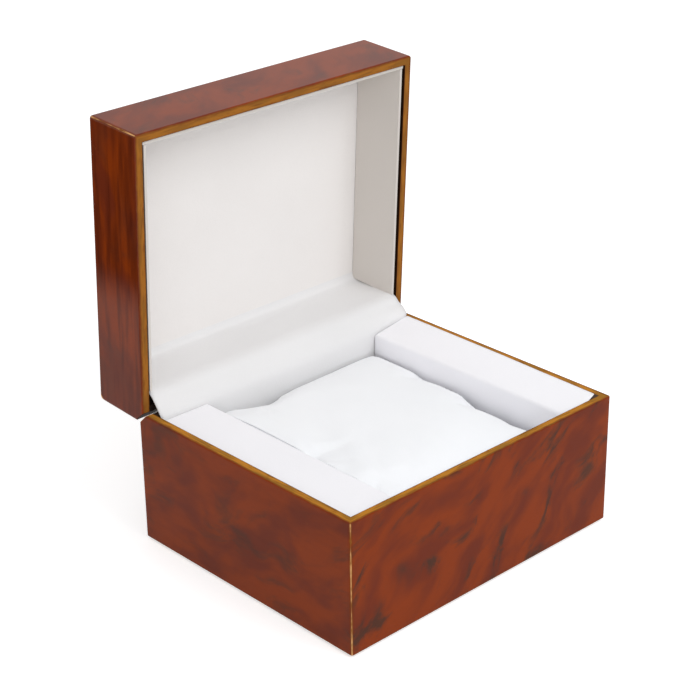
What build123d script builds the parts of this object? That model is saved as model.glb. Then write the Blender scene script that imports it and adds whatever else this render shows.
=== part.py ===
from build123d import *
import math
import os

# A wooden watch box with a hinged lid, drawn standing open.
# The origin is the centre of the base's underside. X runs to the right along the front,
# Y runs to the back and Z runs up. Lengths are in millimetres, angles in degrees.
# The lid's pieces are drawn in lid_frame with the coordinates they have in the closed box.

# Outside of the closed box
box_width = 130.0
box_depth = 110.0
base_height = 51.5
lid_height = 25.3
rim_gap = 0.3

# Boards, their rounded edges and the felt underneath
wall = 3.2
top_thickness = 3.0
bottom_thickness = 3.0
rebate_lip = 1.6
corner_radius = 1.2
edge_round = 0.5
foot_chamfer = 0.5
top_round = 1.0
back_round = 3.8
felt_thickness = 0.6
felt_inset = 2.0

# Seam at the back: the opening angle, the hinge axis and the bevels that make room for the lid
open_angle = 87.0
hinge_inset = 3.4
hinge_drop = 0.7
bevel_ahead_of_axis = 0.8

# The two concealed stop hinges
hinge_from_side = 18.0
hinge_length = 26.0
knuckle_count = 3
knuckle_gap = 0.2
barrel_radius = 1.3
pin_radius = 0.7
pin_head_radius = 1.1
pin_head_length = 0.5
running_clearance = 0.05
leaf_thickness = 0.8
leaf_gap = 0.1
leaf_leg = 10.0
bend_radius = 0.4
barrel_clearance = 0.25
stop_reach = 2.0
stop_thickness = 0.5
stop_clearance = 0.05

# Screws of the hinges
screw_spacing = 15.0
screw_from_leg_end = 4.2
screw_end_cover = 0.3
screw_radius = 0.8
screw_head_radius = 1.5
screw_clearance = 0.05
slot_width = 0.4
slot_depth = 0.3

# Hinge rails and the card behind the flap
rail_thickness = 3.2
rail_height = 15.0
back_card = 1.5
back_card_drop = 3.0
card_window_gap = 0.6

# Flap of leatherette that covers the hinges
flap_thickness = 0.5
flap_side_gap = 1.0
flap_fold_drop = 1.1
flap_fold_radius = 4.0
flap_lid_fold_ahead = 7.8
flap_lid_fold_rise = 0.6
flap_lid_fold_radius = 5.0

# Linings of the base: floor and front cards, and the two padded ledges
floor_card = 0.8
front_card = 0.8
front_card_drop = 0.9
left_ledge_width = 22.0
right_ledge_width = 17.8
ledge_drop = 1.8
left_ledge_rise = 0.2
right_ledge_rise = 2.4
ledge_round = 1.6
ledge_cover = 0.6
ledge_end_gap = 1.6
ledge_end_gap_length = 6.0
fit_gap = 0.2

# Linings of the lid: three leaning cards and the panel
lining_card = 1.0
lining_from_wall = 0.9
front_lining_from_wall = 0.3
lining_rim_drop = 0.6
lining_lean = 2.6
panel_board = 1.2
panel_cover = 0.5
panel_round = 0.4
panel_side_gap = 0.5
panel_back_from_wall = 10.1

# Pillow: where its seam is, and how far its crown and its underside lie inside the seam
pillow_gap = 0.5
pillow_crown_drop = 5.5
pillow_cover = 0.8
pillow_draw_in = 2.8
pillow_seam_share = 0.80
pillow_crown_inset = 29.0
pillow_underside_inset = 9.0
pillow_bands = 5

# Places that follow from the sizes above
half_width = box_width / 2
half_depth = box_depth / 2
inner_x = half_width - wall
inner_y = half_depth - wall
lid_rim = base_height + rim_gap
lid_top = lid_rim + lid_height
lid_ceiling = lid_top - top_thickness
floor_top = felt_thickness + bottom_thickness
well_floor = floor_top + floor_card
bevel = hinge_inset + bevel_ahead_of_axis
hinge_y = half_depth - hinge_inset
hinge_z = base_height - hinge_drop
rail_face = inner_y - rail_thickness
leg_face = rail_face - leaf_thickness
card_face = rail_face - back_card
flap_face = card_face - flap_thickness
margin = 1.0
tolerance = 0.01

# The frame of the base, and the same frame turned open about the hinge axis for the lid
base_frame = Plane.XY
turned = Plane(origin=(0, hinge_y, hinge_z)).rotated((-open_angle, 0, 0))
lid_frame = Plane(
    turned.from_local_coords((0, -hinge_y, -hinge_z)),
    x_dir=turned.x_dir,
    z_dir=turned.z_dir,
)


def side_plane(frame, x):
    # Looks along the box's width: its own x is the box's y, and its own y is the box's z
    return Plane(frame.from_local_coords((x, 0, 0)), x_dir=frame.y_dir, z_dir=frame.x_dir)


def front_plane(frame, y):
    # Looks from the front: its own x is the box's x, its own y is z, and it faces forward
    return Plane(frame.from_local_coords((0, y, 0)), x_dir=frame.x_dir, z_dir=-frame.y_dir)


def side_block(frame, x, length, y_range, z_range, mode=Mode.ADD):
    # A block drawn from the side, from x over a length to the right
    with BuildSketch(side_plane(frame, x)) as outline:
        with Locations(((y_range[0] + y_range[1]) / 2, (z_range[0] + z_range[1]) / 2)):
            Rectangle(abs(y_range[1] - y_range[0]), abs(z_range[1] - z_range[0]))
    extrude(outline.sketch, amount=length, mode=mode)


def level_block(frame, z, height, x_range, y_range, mode=Mode.ADD):
    # A block drawn from above, from z over a height
    with BuildSketch(frame.offset(z)) as outline:
        with Locations(((x_range[0] + x_range[1]) / 2, (y_range[0] + y_range[1]) / 2)):
            Rectangle(x_range[1] - x_range[0], y_range[1] - y_range[0])
    extrude(outline.sketch, amount=height, mode=mode)


def rod(frame, x, length, radius, mode=Mode.ADD):
    # A cylinder round the hinge axis, from x over a length to the right
    with BuildSketch(side_plane(frame, x)) as outline:
        with Locations((hinge_y, hinge_z)):
            Circle(radius)
    extrude(outline.sketch, amount=length, mode=mode)


def edges_at_level(frame, z):
    # The edges of the part being built that lie wholly at one height of a frame
    return edges().filter_by(
        lambda edge: all(abs(frame.to_local_coords(v.center()).Z - z) < tolerance for v in edge.vertices())
    )


# Concealed hinges: places along the box's width
hinge_starts = [-half_width + hinge_from_side, half_width - hinge_from_side - hinge_length]
knuckle_length = (hinge_length - (knuckle_count - 1) * knuckle_gap) / knuckle_count
knuckle_pitch = knuckle_length + knuckle_gap
base_knuckles = range(0, knuckle_count, 2)
lid_knuckles = range(1, knuckle_count, 2)
recess_end = pin_head_length + knuckle_gap
base_plate_low = hinge_z - leaf_thickness / 2
base_plate_high = hinge_z + leaf_thickness / 2
lid_plate_low = base_plate_high + leaf_gap
lid_plate_high = lid_plate_low + leaf_thickness
stop_sweep = (stop_reach**2 + (leaf_thickness / 2 + stop_clearance + stop_thickness) ** 2) ** 0.5
base_groove_radius = stop_sweep + barrel_clearance
lid_groove_radius = barrel_radius + barrel_clearance
base_screw_z = base_plate_high - leaf_leg + screw_from_leg_end
lid_screw_z = lid_plate_low + leaf_leg - screw_from_leg_end
screw_offsets = [-screw_spacing / 2, screw_spacing / 2]
screw_length = leaf_thickness + rail_thickness - screw_end_cover


def cut_hinge_recesses(frame, groove_radius, slot_range):
    # The mortises for the leaves and the grooves for the barrels, in a wall or a rail
    for start in hinge_starts:
        rod(frame, start - recess_end, hinge_length + 2 * recess_end, groove_radius, mode=Mode.SUBTRACT)
        side_block(
            frame,
            start - recess_end,
            hinge_length + 2 * recess_end,
            (leg_face - margin, hinge_y),
            slot_range,
            mode=Mode.SUBTRACT,
        )


def screw_places(frame, z):
    # Planes on the leaf's leg that face forward, one for each screw
    middles = [start + hinge_length / 2 for start in hinge_starts]
    return [
        Plane(frame.from_local_coords((middle + offset, leg_face, z)), x_dir=frame.x_dir, z_dir=-frame.y_dir)
        for middle in middles
        for offset in screw_offsets
    ]


def cut_pilot_holes(frame, z):
    # Blind holes for the screws behind the leaves, in a rail
    with Locations(*screw_places(frame, z)):
        Hole(screw_radius + screw_clearance, depth=screw_length + screw_clearance)


def cut_base_hinges():
    cut_hinge_recesses(base_frame, base_groove_radius, (base_plate_low, base_height + margin))


def cut_lid_hinges():
    cut_hinge_recesses(lid_frame, lid_groove_radius, (base_height - margin, lid_plate_high))


def board_sector(side):
    # The quarter of the plan that a board fills, cut to its mitred corners
    x = half_width + margin
    y = half_depth + margin
    depth = min(half_width, half_depth) / 2
    corners = {
        "front": [(-x, -y), (x, -y), (x - depth, -y + depth), (-x + depth, -y + depth)],
        "right": [(x, -y), (x, y), (x - depth, y - depth), (x - depth, -y + depth)],
        "back": [(x, y), (-x, y), (-x + depth, y - depth), (x - depth, y - depth)],
        "left": [(-x, y), (-x, -y), (-x + depth, -y + depth), (-x + depth, y - depth)],
    }
    return corners[side]


def wall_board(frame, side, low, high, rim, foot=None):
    # One of the four mitred boards. Its outer edge is rounded at the rim and chamfered at the foot.
    with BuildSketch(frame.offset(low)) as plan:
        RectangleRounded(box_width, box_depth, corner_radius)
    extrude(plan.sketch, amount=high - low)
    fillet(edges_at_level(frame, rim), edge_round)
    if foot is not None:
        chamfer(edges_at_level(frame, foot), foot_chamfer)
    level_block(frame, low, high - low, (-inner_x, inner_x), (-inner_y, inner_y), mode=Mode.SUBTRACT)
    with BuildSketch(frame.offset(low)) as sector:
        with BuildLine():
            Polyline(board_sector(side), close=True)
        make_face()
    extrude(sector.sketch, amount=high - low, mode=Mode.INTERSECT)


def cut_bevel(frame, rim, rise):
    # The 45 degree bevel along the back of a rim. It falls below the rim of the base and
    # rises above the rim of the lid, so the two make a V when the box is closed.
    with BuildSketch(side_plane(frame, -half_width - margin)) as wedge:
        with BuildLine():
            Polyline(
                (half_depth - bevel - margin, rim - rise * margin),
                (half_depth + margin, rim + rise * (bevel + margin)),
                (half_depth + margin, rim - rise * margin),
                close=True,
            )
        make_face()
    extrude(wedge.sketch, amount=box_width + 2 * margin, mode=Mode.SUBTRACT)


def cut_back_round():
    # The lid's upper edge at the back, rounded through the top panel into the boards below it
    with BuildSketch(side_plane(lid_frame, -half_width - margin)) as corner:
        with Locations((half_depth - back_round, lid_top - back_round)):
            Rectangle(back_round + margin, back_round + margin, align=(Align.MIN, Align.MIN))
            Circle(back_round, mode=Mode.SUBTRACT)
    extrude(corner.sketch, amount=box_width + 2 * margin, mode=Mode.SUBTRACT)


# Boards of the base. The bottom panel sits in a rebate, flush with their undersides.
base_walls = {}
for side in ("front", "back", "left", "right"):
    with BuildPart() as base_wall:
        wall_board(base_frame, side, felt_thickness, base_height, rim=base_height, foot=felt_thickness)
        level_block(
            base_frame,
            felt_thickness,
            bottom_thickness,
            (-half_width + rebate_lip, half_width - rebate_lip),
            (-half_depth + rebate_lip, half_depth - rebate_lip),
            mode=Mode.SUBTRACT,
        )
        if side != "front":
            cut_bevel(base_frame, base_height, -1)
        if side == "back":
            cut_base_hinges()
    base_walls[side] = base_wall

with BuildPart() as base_bottom_panel:
    level_block(
        base_frame,
        felt_thickness,
        bottom_thickness,
        (-half_width + rebate_lip, half_width - rebate_lip),
        (-half_depth + rebate_lip, half_depth - rebate_lip),
    )

with BuildPart() as base_felt:
    with BuildSketch():
        RectangleRounded(box_width - 2 * felt_inset, box_depth - 2 * felt_inset, corner_radius)
    extrude(amount=felt_thickness)

# Boards of the lid, with the top panel glued on them
lid_walls = {}
for side in ("front", "back", "left", "right"):
    with BuildPart() as lid_wall:
        wall_board(lid_frame, side, lid_rim, lid_ceiling, rim=lid_rim)
        if side != "front":
            cut_bevel(lid_frame, lid_rim, 1)
            cut_back_round()
        if side == "back":
            cut_lid_hinges()
    lid_walls[side] = lid_wall

with BuildPart() as lid_top_panel:
    with BuildSketch(lid_frame.offset(lid_ceiling)):
        RectangleRounded(box_width, box_depth, corner_radius)
    extrude(amount=top_thickness)
    fillet(edges_at_level(lid_frame, lid_top), top_round)
    cut_back_round()

# Rails of solid wood inside the back walls, which the hinges are screwed to
with BuildPart() as base_hinge_rail:
    side_block(
        base_frame, -inner_x, 2 * inner_x, (rail_face, inner_y), (base_height - rail_height, base_height)
    )
    cut_bevel(base_frame, base_height, -1)
    cut_base_hinges()
    cut_pilot_holes(base_frame, base_screw_z)

with BuildPart() as lid_hinge_rail:
    side_block(lid_frame, -inner_x, 2 * inner_x, (rail_face, inner_y), (lid_rim, lid_rim + rail_height))
    cut_bevel(lid_frame, lid_rim, 1)
    cut_lid_hinges()
    cut_pilot_holes(lid_frame, lid_screw_z)


def hinge_leaf(frame, start, plate_range, leg_range, own, others, screw_z):
    # A cranked leaf: a plate from the barrel to the rail's face, a leg along that face,
    # and every other knuckle of the barrel
    with BuildPart() as leaf:
        side_block(frame, start, hinge_length, (leg_face, hinge_y), plate_range)
        side_block(frame, start, hinge_length, (leg_face, rail_face), leg_range)
        leg_corner = max(plate_range) if min(leg_range) < min(plate_range) else min(plate_range)
        bend = edges_at_level(frame, leg_corner).sort_by(lambda edge: frame.to_local_coords(edge.center()).Y)[0]
        fillet(bend, bend_radius)
        for index in others:
            rod(
                frame,
                start + index * knuckle_pitch - knuckle_gap,
                knuckle_length + 2 * knuckle_gap,
                barrel_radius + knuckle_gap,
                mode=Mode.SUBTRACT,
            )
        for index in own:
            rod(frame, start + index * knuckle_pitch, knuckle_length, barrel_radius)
            if frame is lid_frame:
                add_stop(start + index * knuckle_pitch)
        rod(frame, start - margin, hinge_length + 2 * margin, pin_radius + running_clearance, mode=Mode.SUBTRACT)
        for offset in screw_offsets:
            place = Plane(
                frame.from_local_coords((start + hinge_length / 2 + offset, leg_face, screw_z)),
                x_dir=frame.x_dir,
                z_dir=-frame.y_dir,
            )
            with Locations(place):
                CounterSinkHole(
                    screw_radius + 2 * screw_clearance,
                    screw_head_radius + screw_clearance,
                    depth=leaf_thickness + margin / 2,
                    counter_sink_angle=90,
                )
    return leaf


def add_stop(x):
    # The nib on a lid knuckle that comes up under the base leaf and holds the lid open
    top = base_plate_low - stop_clearance
    side_block(
        base_frame,
        x,
        knuckle_length,
        (hinge_y - stop_reach, hinge_y - pin_radius - running_clearance),
        (top - stop_thickness, top),
    )


# Leaves and pins of the two hinges
base_leaves = {}
lid_leaves = {}
hinge_pins = {}
for hand, start in zip(("left", "right"), hinge_starts):
    base_leaves[hand] = hinge_leaf(
        base_frame,
        start,
        (base_plate_low, base_plate_high),
        (base_plate_high - leaf_leg, base_plate_high),
        base_knuckles,
        lid_knuckles,
        base_screw_z,
    )
    lid_leaves[hand] = hinge_leaf(
        lid_frame,
        start,
        (lid_plate_low, lid_plate_high),
        (lid_plate_low, lid_plate_low + leaf_leg),
        lid_knuckles,
        base_knuckles,
        lid_screw_z,
    )
    with BuildPart() as hinge_pin:
        rod(base_frame, start - running_clearance, hinge_length + 2 * running_clearance, pin_radius)
        for head_start in (
            start - running_clearance - pin_head_length,
            start + hinge_length + running_clearance,
        ):
            rod(base_frame, head_start, pin_head_length, pin_head_radius)
    hinge_pins[hand] = hinge_pin

# One countersunk screw along its own -Z, with its head's face at the origin
with BuildPart() as screw:
    with BuildSketch(Plane.XZ):
        with BuildLine():
            Polyline(
                (0, 0),
                (screw_head_radius, 0),
                (screw_radius, screw_radius - screw_head_radius),
                (screw_radius, -screw_length),
                (0, -screw_length),
                close=True,
            )
        make_face()
    revolve(axis=Axis.Z)
    with BuildSketch():
        Rectangle(2 * screw_head_radius, slot_width)
    extrude(amount=-slot_depth, mode=Mode.SUBTRACT)

with BuildPart() as base_hinge_screws:
    with Locations(*screw_places(base_frame, base_screw_z)):
        add(screw.part)

with BuildPart() as lid_hinge_screws:
    with Locations(*screw_places(lid_frame, lid_screw_z)):
        add(screw.part)

# Cards of the base: the floor, the front between the ledges, and the back behind the flap
left_ledge_face = -inner_x + left_ledge_width
right_ledge_face = inner_x - right_ledge_width
front_card_face = -inner_y + front_card
ledge_back = flap_face - fit_gap

with BuildPart() as base_floor_lining:
    level_block(base_frame, floor_top, floor_card, (-inner_x, inner_x), (-inner_y, inner_y))

with BuildPart() as base_front_lining:
    level_block(
        base_frame,
        well_floor,
        base_height - front_card_drop - well_floor,
        (left_ledge_face, right_ledge_face),
        (-inner_y, front_card_face),
    )

with BuildPart() as base_back_lining:
    side_block(
        base_frame, -inner_x, 2 * inner_x, (card_face, rail_face), (well_floor, base_height - back_card_drop)
    )
    for start in hinge_starts:
        side_block(
            base_frame,
            start - card_window_gap,
            hinge_length + 2 * card_window_gap,
            (card_face - margin, rail_face + margin),
            (base_plate_high - leaf_leg - card_window_gap, base_height),
            mode=Mode.SUBTRACT,
        )


def ledge_body(outer, inner, rise, end_gap, skin):
    # A block along one side wall, its top falling to a rounded inner edge. Its front end runs
    # off the front wall by the end gap at the outer corner.
    # The skin is what is left off its top, inner face and ends.
    top = base_height - ledge_drop
    across = 1 if inner > outer else -1
    with BuildSketch(front_plane(base_frame, -inner_y)) as profile:
        with BuildLine():
            Polyline(
                (outer, well_floor),
                (outer, top + rise - skin),
                (inner - across * skin, top - skin),
                (inner - across * skin, well_floor),
                close=True,
            )
        make_face()
        corner = vertices().sort_by(lambda v: abs(v.X - inner) - v.Y)[0]
        fillet(corner, ledge_round - skin)
    extrude(profile.sketch, amount=-(ledge_back - skin + inner_y))
    if end_gap > 0:
        gap_length = ledge_end_gap_length * (end_gap + skin) / end_gap
        with BuildSketch(Plane.XY.offset(well_floor)) as wedge:
            with BuildLine():
                Polyline(
                    (outer, -inner_y),
                    (outer - across * gap_length, -inner_y),
                    (outer, -inner_y + end_gap + skin),
                    close=True,
                )
            make_face()
        extrude(wedge.sketch, amount=base_height, mode=Mode.SUBTRACT)


ledge_shapes = {
    "left": (-inner_x, left_ledge_face, left_ledge_rise, 0),
    "right": (inner_x, right_ledge_face, right_ledge_rise, ledge_end_gap),
}
ledge_blocks = {}
ledge_covers = {}
for hand, shape in ledge_shapes.items():
    with BuildPart() as ledge_block:
        ledge_body(*shape, skin=ledge_cover)
    with BuildPart() as cover:
        ledge_body(*shape, skin=0)
        add(ledge_block.part, mode=Mode.SUBTRACT)
    ledge_blocks[hand] = ledge_block
    ledge_covers[hand] = cover

# Lid panel: a board and its cover, with the flap tucked behind its back edge
panel_back = half_depth - wall - panel_back_from_wall
panel_face = lid_ceiling - panel_board - panel_cover
panel_x = (-inner_x + panel_side_gap, inner_x - panel_side_gap)
panel_y = (-inner_y + panel_side_gap, panel_back)

with BuildPart() as lid_panel_board:
    level_block(lid_frame, lid_ceiling - panel_board, panel_board, panel_x, panel_y)

with BuildPart() as lid_panel_cover:
    level_block(lid_frame, panel_face, panel_cover, panel_x, panel_y)
    fillet(edges_at_level(lid_frame, panel_face), panel_round)

# Flap over the hinges: up behind the pillow, over to the lid, and down the lid's back
flap_line = flap_face + flap_thickness / 2
lid_fold_y = hinge_y - flap_lid_fold_ahead
lid_fold_z = lid_rim + flap_lid_fold_rise
flap_tuck_y = panel_back + fit_gap + flap_thickness / 2


def lid_point(y, z):
    # A point of the lid, given as in the closed box, where it is in the open one
    place = lid_frame.from_local_coords((0, y, z))
    return (place.Y, place.Z)


with BuildPart() as hinge_flap:
    with BuildSketch(side_plane(base_frame, -inner_x + flap_side_gap)):
        with BuildLine():
            FilletPolyline(
                (flap_line, well_floor),
                (flap_line, base_height - flap_fold_drop),
                lid_point(lid_fold_y, lid_fold_z),
                lid_point(flap_tuck_y, panel_face),
                lid_point(flap_tuck_y, lid_ceiling - fit_gap),
                radius=[flap_fold_radius, flap_lid_fold_radius, flap_thickness],
            )
        trace(line_width=flap_thickness)
    extrude(amount=2 * (inner_x - flap_side_gap))

# Leaning cards of the lid. They stand off the walls at the rim and lean in to the panel.
lining_rim = lid_rim + lining_rim_drop
lining_deep = panel_face - fit_gap
side_card_outer = inner_x - lining_from_wall
front_card_outer = -inner_y + front_lining_from_wall


def lid_side_card(across):
    # The card along the left or right wall, with ends that follow the front card and the flap
    with BuildPart() as card:
        with BuildSketch(front_plane(lid_frame, -inner_y)):
            with BuildLine():
                Polyline(
                    (across * side_card_outer, lining_rim),
                    (across * (side_card_outer - lining_card), lining_rim),
                    (across * (side_card_outer - lining_card - lining_lean), lining_deep),
                    (across * (side_card_outer - lining_lean), lining_deep),
                    close=True,
                )
            make_face()
        extrude(amount=-2 * inner_y)
        front_end = front_card_outer + lining_card + fit_gap
        back_end = lid_fold_y - flap_thickness / 2 - 2 * fit_gap
        deep_back_end = flap_tuck_y - flap_thickness / 2 - 2 * fit_gap
        with BuildSketch(side_plane(lid_frame, -inner_x)):
            with BuildLine():
                Polyline(
                    (front_end, lining_rim),
                    (back_end, lining_rim),
                    (deep_back_end, lining_deep),
                    (front_end + lining_lean, lining_deep),
                    close=True,
                )
            make_face()
        extrude(amount=2 * inner_x, mode=Mode.INTERSECT)
    return card


lid_left_lining = lid_side_card(-1)
lid_right_lining = lid_side_card(1)

with BuildPart() as lid_front_lining:
    with BuildSketch(side_plane(lid_frame, -inner_x + panel_side_gap)):
        with BuildLine():
            Polyline(
                (front_card_outer, lining_rim),
                (front_card_outer + lining_card, lining_rim),
                (front_card_outer + lining_card + lining_lean, lining_deep),
                (front_card_outer + lining_lean, lining_deep),
                close=True,
            )
        make_face()
    extrude(amount=2 * (inner_x - panel_side_gap))

# Pillow: two panels of leatherette sewn together round a filling
pillow_left = left_ledge_face + pillow_gap
pillow_right = right_ledge_face - pillow_gap
pillow_front = front_card_face + pillow_gap
pillow_back = flap_face - pillow_gap
pillow_seam_rise = pillow_seam_share * (base_height - pillow_crown_drop - well_floor)
pillow_seam_z = well_floor + pillow_seam_rise
pillow_crown_rise = base_height - pillow_crown_drop - pillow_seam_z


def pillow_half(rise, reach, skin, mode=Mode.ADD):
    # Half of the pillow, from its seam up to the crown or down to the underside. The seam's
    # corners reach out and its sides are drawn in. Each band slopes more than the one before,
    # along a quarter of an ellipse. The skin shrinks it to the filling inside the cover.
    left = pillow_left + skin
    right = pillow_right - skin
    front = pillow_front + skin
    back = pillow_back - skin
    middle_x = (left + right) / 2
    middle_y = (front + back) / 2
    with BuildSketch(Plane.XY.offset(pillow_seam_z)) as outline:
        with BuildLine():
            ThreePointArc((left, front), (middle_x, front + pillow_draw_in), (right, front))
            ThreePointArc((right, front), (right - pillow_draw_in, middle_y), (right, back))
            ThreePointArc((right, back), (middle_x, back - pillow_draw_in), (left, back))
            ThreePointArc((left, back), (left + pillow_draw_in, middle_y), (left, front))
        make_face()
    face = outline.sketch.face()
    for band in range(pillow_bands):
        start = math.radians(90 * band / pillow_bands)
        end = math.radians(90 * (band + 1) / pillow_bands)
        band_height = (abs(rise) - skin) * (math.sin(end) - math.sin(start))
        band_inset = reach * (math.cos(start) - math.cos(end))
        solid = extrude(
            face,
            amount=band_height,
            dir=(0, 0, math.copysign(1, rise)),
            taper=math.degrees(math.atan2(band_inset, band_height)),
            mode=mode,
        )
        face = solid.faces().sort_by(Axis.Z)[-1 if rise > 0 else 0]


def pillow_top(skin, mode=Mode.ADD):
    pillow_half(pillow_crown_rise, pillow_crown_inset, skin, mode)


def pillow_bottom(skin, mode=Mode.ADD):
    pillow_half(-pillow_seam_rise, pillow_underside_inset, skin, mode)


with BuildPart() as pillow_top_panel:
    pillow_top(0)
    pillow_top(pillow_cover, mode=Mode.SUBTRACT)

with BuildPart() as pillow_bottom_panel:
    pillow_bottom(0)
    pillow_bottom(pillow_cover, mode=Mode.SUBTRACT)

with BuildPart() as pillow_filling:
    pillow_top(pillow_cover)
    pillow_bottom(pillow_cover)

# Every piece by the name of its node
pieces = {
    "base_bottom_panel": base_bottom_panel,
    "base_felt": base_felt,
    "base_hinge_rail": base_hinge_rail,
    "base_floor_lining": base_floor_lining,
    "base_front_lining": base_front_lining,
    "base_back_lining": base_back_lining,
    "base_hinge_screws": base_hinge_screws,
    "lid_top_panel": lid_top_panel,
    "lid_hinge_rail": lid_hinge_rail,
    "lid_hinge_screws": lid_hinge_screws,
    "lid_panel_board": lid_panel_board,
    "lid_panel_cover": lid_panel_cover,
    "lid_left_lining": lid_left_lining,
    "lid_right_lining": lid_right_lining,
    "lid_front_lining": lid_front_lining,
    "hinge_flap": hinge_flap,
    "pillow_top_panel": pillow_top_panel,
    "pillow_bottom_panel": pillow_bottom_panel,
    "pillow_filling": pillow_filling,
}
for side in ("front", "back", "left", "right"):
    pieces[f"base_{side}_wall"] = base_walls[side]
    pieces[f"lid_{side}_wall"] = lid_walls[side]
for hand in ("left", "right"):
    pieces[f"{hand}_hinge_base_leaf"] = base_leaves[hand]
    pieces[f"{hand}_hinge_lid_leaf"] = lid_leaves[hand]
    pieces[f"{hand}_hinge_pin"] = hinge_pins[hand]
    pieces[f"{hand}_ledge_block"] = ledge_blocks[hand]
    pieces[f"{hand}_ledge_cover"] = ledge_covers[hand]

os.makedirs("parts", exist_ok=True)
for name, piece in pieces.items():
    piece.part.label = name
    export_step(piece.part, f"parts/{name}.step")
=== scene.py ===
# %% [markdown]
# # A wooden watch box, dressed in Blender
#
# The box's solid pieces come ready made from a CAD model: boards, hinges, cards and padded
# ledges. This lesson gives them their looks: a lacquered burl veneer, white leatherette, and a
# soft pillow and a hinge flap that CAD can't model. All lengths here are metres.

import bmesh
import bpy
import math
from mathutils import Matrix, Quaternion, Vector, noise
from mathutils.bvhtree import BVHTree


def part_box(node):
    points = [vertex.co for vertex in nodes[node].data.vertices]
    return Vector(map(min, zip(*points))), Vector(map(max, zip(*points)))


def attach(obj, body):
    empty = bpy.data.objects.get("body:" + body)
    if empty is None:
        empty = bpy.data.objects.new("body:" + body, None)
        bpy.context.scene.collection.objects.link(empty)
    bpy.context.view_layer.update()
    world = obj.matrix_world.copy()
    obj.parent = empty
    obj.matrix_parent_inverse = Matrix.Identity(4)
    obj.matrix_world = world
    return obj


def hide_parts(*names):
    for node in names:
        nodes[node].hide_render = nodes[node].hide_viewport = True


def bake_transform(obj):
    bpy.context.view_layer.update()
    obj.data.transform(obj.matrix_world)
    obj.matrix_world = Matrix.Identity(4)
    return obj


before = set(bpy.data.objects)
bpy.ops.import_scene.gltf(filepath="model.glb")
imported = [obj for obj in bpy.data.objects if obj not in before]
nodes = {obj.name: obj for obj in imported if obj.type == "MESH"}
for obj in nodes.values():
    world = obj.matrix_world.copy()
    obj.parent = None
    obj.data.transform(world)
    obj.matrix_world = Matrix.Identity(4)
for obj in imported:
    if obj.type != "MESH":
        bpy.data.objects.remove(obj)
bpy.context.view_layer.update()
MM = 0.001

# %% [markdown]
# ## The camera
#
# A camera is a place, a direction and a lens. The box is seen from its front left corner, from a
# little above. The place and the lens were fitted so that the corners of the box fall where they
# should; the small roll is the tilt of the real camera.

# %% Place the camera
CAMERA_PLACE = (-0.42497, -0.43937, 0.36049)
CAMERA_AZIMUTH = math.radians(-43.19)
CAMERA_ELEVATION = math.radians(25.18)
CAMERA_ROLL = 0.0127
CAMERA_LENS_MM = 97.99


def new_object(name, data):
    """Adds an object to the scene."""
    made = bpy.data.objects.new(name, data)
    bpy.context.scene.collection.objects.link(made)
    return made


camera_data = bpy.data.cameras.new("camera")
camera_data.lens = CAMERA_LENS_MM
camera_data.clip_start = 0.01
camera = new_object("camera", camera_data)
bpy.context.scene.camera = camera
level = math.cos(CAMERA_ELEVATION)
towards_camera = Vector(
    (math.sin(CAMERA_AZIMUTH) * level, -math.cos(CAMERA_AZIMUTH) * level, math.sin(CAMERA_ELEVATION))
)
camera.rotation_mode = "QUATERNION"
camera.rotation_quaternion = (-towards_camera).to_track_quat("-Z", "Y") @ Quaternion((0, 0, 1), -CAMERA_ROLL)
camera.location = CAMERA_PLACE
print("camera looks along", [round(v, 3) for v in -towards_camera])

# %% [markdown]
# ## Small helpers for node trees
#
# A material in Blender is a graph of nodes. These few helpers add a node, set or link its
# inputs, and do arithmetic, so that the cells below read like recipes.


# %% Helpers that place nodes
def feed(tree, sockets, values):
    """Links a socket, or sets any other value, at the input with its name or number."""
    for key, value in values.items():
        if isinstance(value, bpy.types.NodeSocket):
            tree.links.new(value, sockets[key])
        else:
            sockets[key].default_value = value


def place(tree, kind, inputs=None, **settings):
    """Adds a node with its settings and its inputs."""
    made = tree.nodes.new(kind)
    for key, value in settings.items():
        setattr(made, key, value)
    feed(tree, made.inputs, inputs or {})
    return made


def calc(tree, operation, *values):
    """A number worked out from sockets or numbers."""
    return place(tree, "ShaderNodeMath", dict(enumerate(values)), operation=operation).outputs[0]


def calc_vector(tree, operation, *values, **named):
    """A vector worked out from sockets or vectors."""
    inputs = {**dict(enumerate(values)), **named}
    return place(tree, "ShaderNodeVectorMath", inputs, operation=operation).outputs[0]


def fade(tree, value, start, end, most=1.0):
    """A smooth step: 0 before start, and most after end."""
    inputs = {"Value": value, "From Min": start, "From Max": end}
    share = place(tree, "ShaderNodeMapRange", inputs, interpolation_type="SMOOTHSTEP").outputs["Result"]
    return share if most == 1.0 else calc(tree, "MULTIPLY", share, most)


def mapped(tree, spot, **inputs):
    """A place that is moved, turned or scaled."""
    return place(tree, "ShaderNodeMapping", {"Vector": spot, **inputs}).outputs[0]


def speckle(tree, spot, scale, detail, **named):
    """A noise value about 0.5."""
    inputs = {"Vector": spot, "Scale": scale, "Detail": detail, **named}
    return place(tree, "ShaderNodeTexNoise", inputs).outputs["Fac"]


def mix_colour(tree, share, first, second):
    """The first colour where share is 0 and the second where it is 1."""
    # Sockets 1 to 5 of this node are for numbers and vectors
    return place(tree, "ShaderNodeMix", {0: share, 6: first, 7: second}, data_type="RGBA").outputs[2]


def new_group(name, inputs, outputs, kind="ShaderNodeTree"):
    """A node group with named sockets: each is (name, socket type, default or None)."""
    tree = bpy.data.node_groups.new(name, kind)
    for direction, sockets in (("INPUT", inputs), ("OUTPUT", outputs)):
        for socket_name, socket_kind, default in sockets:
            socket = tree.interface.new_socket(socket_name, in_out=direction, socket_type=socket_kind)
            if default is not None:
                socket.default_value = default
    return tree, tree.nodes.new("NodeGroupInput").outputs, tree.nodes.new("NodeGroupOutput").inputs


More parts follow.
